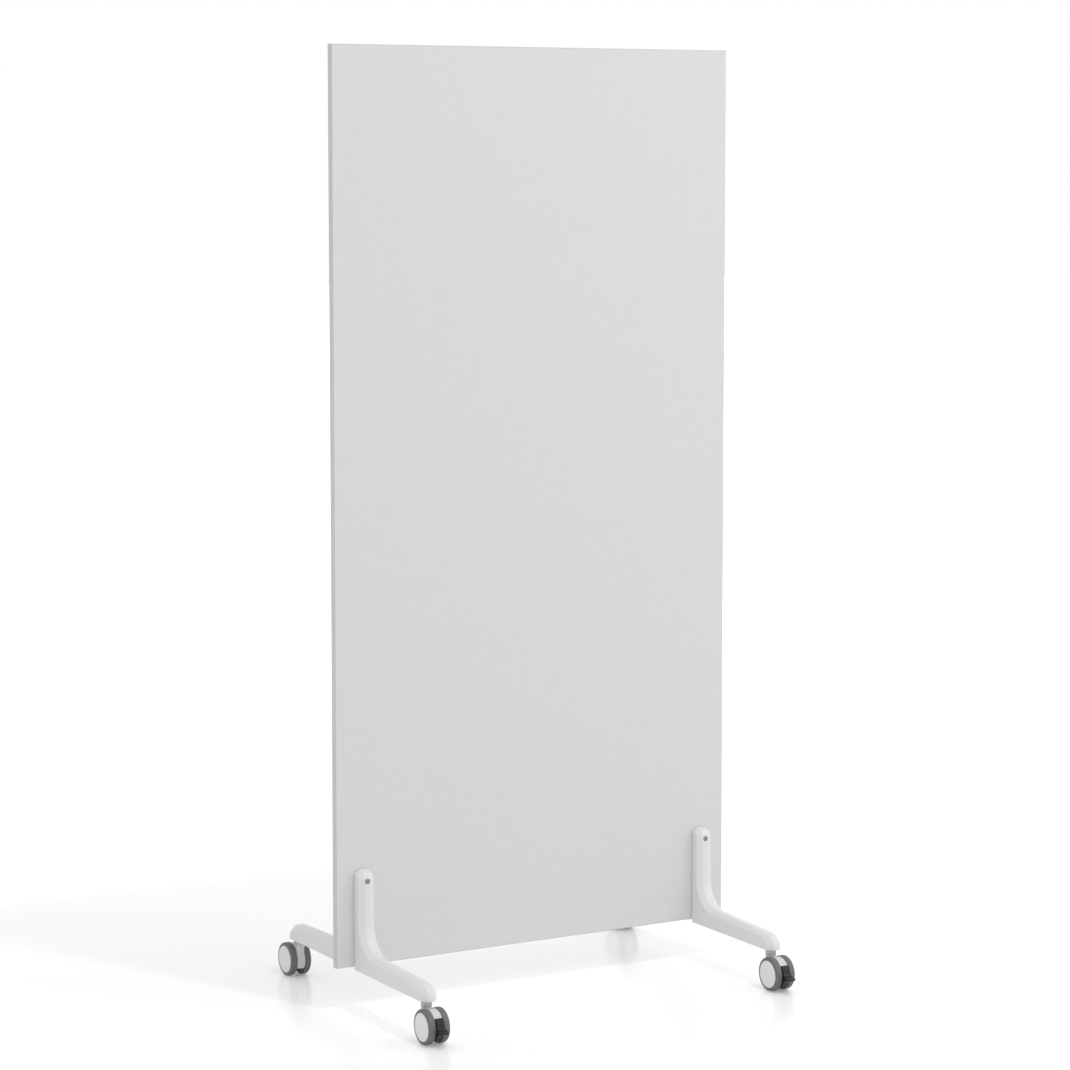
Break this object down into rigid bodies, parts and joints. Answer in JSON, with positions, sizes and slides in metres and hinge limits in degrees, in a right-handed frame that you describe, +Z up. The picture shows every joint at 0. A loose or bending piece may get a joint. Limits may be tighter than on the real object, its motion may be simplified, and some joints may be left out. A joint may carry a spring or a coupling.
{
  "type": "rolling partition",
  "caption": "Tall free-standing board on L-shaped cast feet, each foot on a swivel caster with twin wheels and a brake pedal.",
  "frame": {"origin": "on the floor, under the middle of the board", "axes": "+X along the board, to the right as seen from the front; -Y to the front; +Z up"},
  "size_m": [0.9, 0.709, 1.886],
  "materials": {
    "black_screw": "black finished steel",
    "board": "pressed wood-fibre board",
    "cover_plastic": "light grey moulded plastic",
    "edge_strip": "light grey plastic edge strip",
    "facing": "smooth light grey laminate, satin",
    "foot_casting": "cast, light grey powder coat, satin",
    "housing_plastic": "light grey moulded plastic",
    "hub_plastic": "grey moulded plastic",
    "neck_metal": "mid grey",
    "pedal_plastic": "black moulded plastic",
    "steel": "zinc plated",
    "tyre_rubber": "dark grey soft tread"
  },
  "bodies": {
    "stand": {"panel_core": "board", "front_facing": "facing", "back_facing": "facing", "edge_bands": "edge_strip", "foot_front_left": "foot_casting", "foot_front_right": "foot_casting", "foot_back_left": "foot_casting", "foot_back_right": "foot_casting", "foot_screws": "black_screw", "threaded_sleeves": "steel", "locating_dowels": "steel", "caster_stems": "steel", "stem_rings": "steel"},
    "caster_fl": {"caster_neck_fl": "neck_metal", "caster_housing_fl": "housing_plastic", "caster_axle_fl": "steel", "pedal_pin_fl": "steel"},
    "wheel_fl_left": {"wheel_hub_fl_left": "hub_plastic", "tyre_fl_left": "tyre_rubber", "wheel_cover_fl_left": "cover_plastic"},
    "wheel_fl_right": {"wheel_hub_fl_right": "hub_plastic", "tyre_fl_right": "tyre_rubber", "wheel_cover_fl_right": "cover_plastic"},
    "pedal_fl": {"brake_pedal_fl": "pedal_plastic"},
    "caster_fr": {"caster_neck_fr": "neck_metal", "caster_housing_fr": "housing_plastic", "caster_axle_fr": "steel", "pedal_pin_fr": "steel"},
    "wheel_fr_left": {"wheel_hub_fr_left": "hub_plastic", "tyre_fr_left": "tyre_rubber", "wheel_cover_fr_left": "cover_plastic"},
    "wheel_fr_right": {"wheel_hub_fr_right": "hub_plastic", "tyre_fr_right": "tyre_rubber", "wheel_cover_fr_right": "cover_plastic"},
    "pedal_fr": {"brake_pedal_fr": "pedal_plastic"},
    "caster_bl": {"caster_neck_bl": "neck_metal", "caster_housing_bl": "housing_plastic", "caster_axle_bl": "steel", "pedal_pin_bl": "steel"},
    "wheel_bl_left": {"wheel_hub_bl_left": "hub_plastic", "tyre_bl_left": "tyre_rubber", "wheel_cover_bl_left": "cover_plastic"},
    "wheel_bl_right": {"wheel_hub_bl_right": "hub_plastic", "tyre_bl_right": "tyre_rubber", "wheel_cover_bl_right": "cover_plastic"},
    "pedal_bl": {"brake_pedal_bl": "pedal_plastic"},
    "caster_br": {"caster_neck_br": "neck_metal", "caster_housing_br": "housing_plastic", "caster_axle_br": "steel", "pedal_pin_br": "steel"},
    "wheel_br_left": {"wheel_hub_br_left": "hub_plastic", "tyre_br_left": "tyre_rubber", "wheel_cover_br_left": "cover_plastic"},
    "wheel_br_right": {"wheel_hub_br_right": "hub_plastic", "tyre_br_right": "tyre_rubber", "wheel_cover_br_right": "cover_plastic"},
    "pedal_br": {"brake_pedal_br": "pedal_plastic"}
  },
  "joints": [
    {"name": "swivel_fl", "type": "hinge", "parent": "stand", "child": "caster_fl", "pos_m": [-0.394, -0.276, 0.07], "axis": [0, 0, 1], "continuous": true},
    {"name": "roll_fl_left", "type": "hinge", "parent": "caster_fl", "child": "wheel_fl_left", "pos_m": [-0.40975, -0.298, 0.034], "axis": [1, 0, 0], "continuous": true},
    {"name": "roll_fl_right", "type": "hinge", "parent": "caster_fl", "child": "wheel_fl_right", "pos_m": [-0.37825, -0.298, 0.034], "axis": [1, 0, 0], "continuous": true},
    {"name": "brake_fl", "type": "hinge", "parent": "caster_fl", "child": "pedal_fl", "pos_m": [-0.394, -0.318, 0.042], "axis": [1, 0, 0], "range_deg": [0, 12]},
    {"name": "swivel_fr", "type": "hinge", "parent": "stand", "child": "caster_fr", "pos_m": [0.394, -0.276, 0.07], "axis": [0, 0, 1], "continuous": true},
    {"name": "roll_fr_left", "type": "hinge", "parent": "caster_fr", "child": "wheel_fr_left", "pos_m": [0.37825, -0.298, 0.034], "axis": [1, 0, 0], "continuous": true},
    {"name": "roll_fr_right", "type": "hinge", "parent": "caster_fr", "child": "wheel_fr_right", "pos_m": [0.40975, -0.298, 0.034], "axis": [1, 0, 0], "continuous": true},
    {"name": "brake_fr", "type": "hinge", "parent": "caster_fr", "child": "pedal_fr", "pos_m": [0.394, -0.318, 0.042], "axis": [1, 0, 0], "range_deg": [0, 12]},
    {"name": "swivel_bl", "type": "hinge", "parent": "stand", "child": "caster_bl", "pos_m": [-0.394, 0.276, 0.07], "axis": [0, 0, 1], "continuous": true},
    {"name": "roll_bl_left", "type": "hinge", "parent": "caster_bl", "child": "wheel_bl_left", "pos_m": [-0.40975, 0.298, 0.034], "axis": [1, 0, 0], "continuous": true},
    {"name": "roll_bl_right", "type": "hinge", "parent": "caster_bl", "child": "wheel_bl_right", "pos_m": [-0.37825, 0.298, 0.034], "axis": [1, 0, 0], "continuous": true},
    {"name": "brake_bl", "type": "hinge", "parent": "caster_bl", "child": "pedal_bl", "pos_m": [-0.394, 0.318, 0.042], "axis": [-1, 0, 0], "range_deg": [0, 12]},
    {"name": "swivel_br", "type": "hinge", "parent": "stand", "child": "caster_br", "pos_m": [0.394, 0.276, 0.07], "axis": [0, 0, 1], "continuous": true},
    {"name": "roll_br_left", "type": "hinge", "parent": "caster_br", "child": "wheel_br_left", "pos_m": [0.37825, 0.298, 0.034], "axis": [1, 0, 0], "continuous": true},
    {"name": "roll_br_right", "type": "hinge", "parent": "caster_br", "child": "wheel_br_right", "pos_m": [0.40975, 0.298, 0.034], "axis": [1, 0, 0], "continuous": true},
    {"name": "brake_br", "type": "hinge", "parent": "caster_br", "child": "pedal_br", "pos_m": [0.394, 0.318, 0.042], "axis": [-1, 0, 0], "range_deg": [0, 12]}
  ]
}
